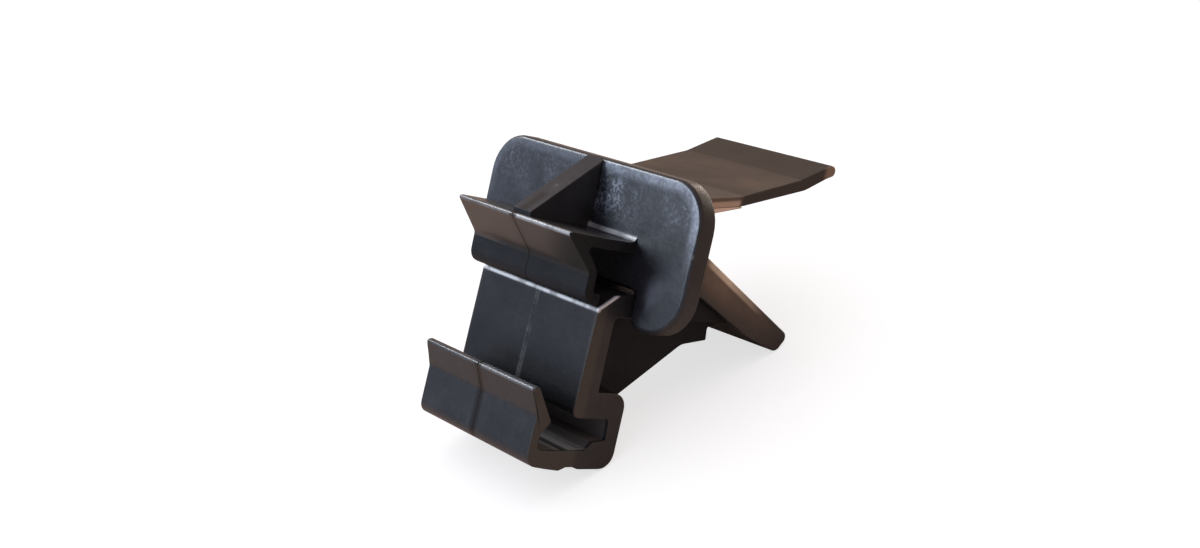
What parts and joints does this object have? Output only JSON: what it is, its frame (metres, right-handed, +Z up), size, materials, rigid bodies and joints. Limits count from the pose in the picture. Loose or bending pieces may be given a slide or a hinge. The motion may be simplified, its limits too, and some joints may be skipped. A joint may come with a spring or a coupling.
{
  "type": "spring clamp",
  "caption": "Hinged spring clamp with a face plate, a flared hook jaw that snaps round a strip or rail, a thin thumb lever and a tray-shaped finger lever.",
  "frame": {"origin": "on the surface it rests on, under the middle of its overall length and width", "axes": "+X to the right seen from the jaw, +Y from the jaw to the levers, +Z up, with the clamp lying on the heel of its hook and the tip of its lower lever"},
  "size_m": [0.0446, 0.0638, 0.036],
  "materials": {
    "moulded_black": "satin moulded",
    "nylon": "natural nylon",
    "zinc_steel": "zinc plated",
    "spring_steel": "drawn spring wire"
  },
  "bodies": {
    "lower_jaw": {"lower_jaw_left": "moulded_black", "lower_jaw_right": "moulded_black", "pivot_pin": "zinc_steel", "push_nut": "zinc_steel", "thrust_washers": "nylon"},
    "upper_jaw": {"upper_jaw_left": "moulded_black", "upper_jaw_right": "moulded_black", "thumb_lever": "moulded_black", "spring_spool": "nylon", "torsion_spring": "spring_steel"}
  },
  "joints": [
    {"name": "jaw_hinge", "type": "hinge", "parent": "lower_jaw", "child": "upper_jaw", "pos_m": [0, -0.00035, 0.02126], "axis": [-1, 0, 0], "range_deg": [0, 24], "stiffness_Nm_per_rad": 0.085, "springref_deg": -60.16, "deforming": ["torsion_spring"]}
  ]
}
